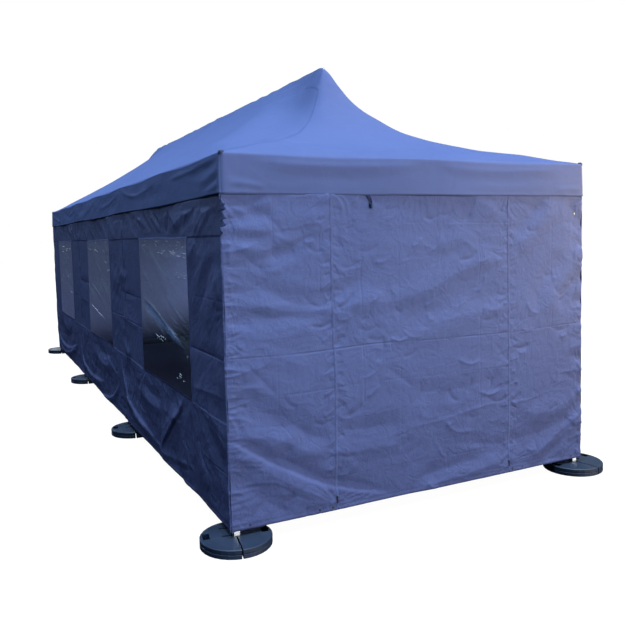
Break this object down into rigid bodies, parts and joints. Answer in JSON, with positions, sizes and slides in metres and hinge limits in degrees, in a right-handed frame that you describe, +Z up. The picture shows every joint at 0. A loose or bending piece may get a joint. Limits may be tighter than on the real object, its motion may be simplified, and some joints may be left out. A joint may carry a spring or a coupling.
{
  "type": "pop-up marquee tent, three bays",
  "caption": "Long pop-up marquee tent with a peaked ridge roof, valance, full side walls with clear windows, a zipped end door and round base weights on its legs.",
  "frame": {"origin": "on the ground, under the middle of the tent", "axes": "+Z up, Y along the tent with the door end at -Y, X across it with the pictured window side at -X"},
  "size_m": [3.3902, 9.3902, 3.43],
  "materials": {
    "roof_cloth": "coated polyester, satin",
    "wall_cloth": "coated polyester, satin",
    "clear_sheet": "clear film, slightly hazy",
    "bare_metal": "mill finish",
    "black_rubber": "matt"
  },
  "bodies": {
    "root": {"roof_front": "roof_cloth", "roof_back": "roof_cloth", "roof_left": "roof_cloth", "roof_right": "roof_cloth", "valance_front": "roof_cloth", "valance_back": "roof_cloth", "valance_left": "roof_cloth", "valance_right": "roof_cloth", "wall_front_left": "wall_cloth", "door_front": "wall_cloth", "wall_front_right": "wall_cloth", "wall_back": "wall_cloth", "wall_left_1": "wall_cloth", "wall_left_2": "wall_cloth", "wall_left_3": "wall_cloth", "wall_right_1": "wall_cloth", "wall_right_2": "wall_cloth", "wall_right_3": "wall_cloth", "window_left_1": "clear_sheet", "window_left_2": "clear_sheet", "window_left_3": "clear_sheet", "window_right_1": "clear_sheet", "window_right_2": "clear_sheet", "window_right_3": "clear_sheet", "leg_left_1": "bare_metal", "leg_left_2": "bare_metal", "leg_left_3": "bare_metal", "leg_left_4": "bare_metal", "leg_right_1": "bare_metal", "leg_right_2": "bare_metal", "leg_right_3": "bare_metal", "leg_right_4": "bare_metal", "weight_left_1": "black_rubber", "weight_left_2": "black_rubber", "weight_left_3": "black_rubber", "weight_left_4": "black_rubber", "weight_right_1": "black_rubber", "weight_right_2": "black_rubber", "weight_right_3": "black_rubber", "weight_right_4": "black_rubber", "truss_left": "bare_metal", "truss_right": "bare_metal", "truss_front": "bare_metal", "truss_back": "bare_metal", "truss_ridge": "bare_metal", "truss_cross_left_1": "bare_metal", "truss_cross_left_2": "bare_metal", "truss_cross_left_3": "bare_metal", "truss_cross_right_1": "bare_metal", "truss_cross_right_2": "bare_metal", "truss_cross_right_3": "bare_metal", "peak_pole_1": "bare_metal", "peak_pole_2": "bare_metal", "peak_pole_3": "bare_metal"}
  },
  "joints": []
}
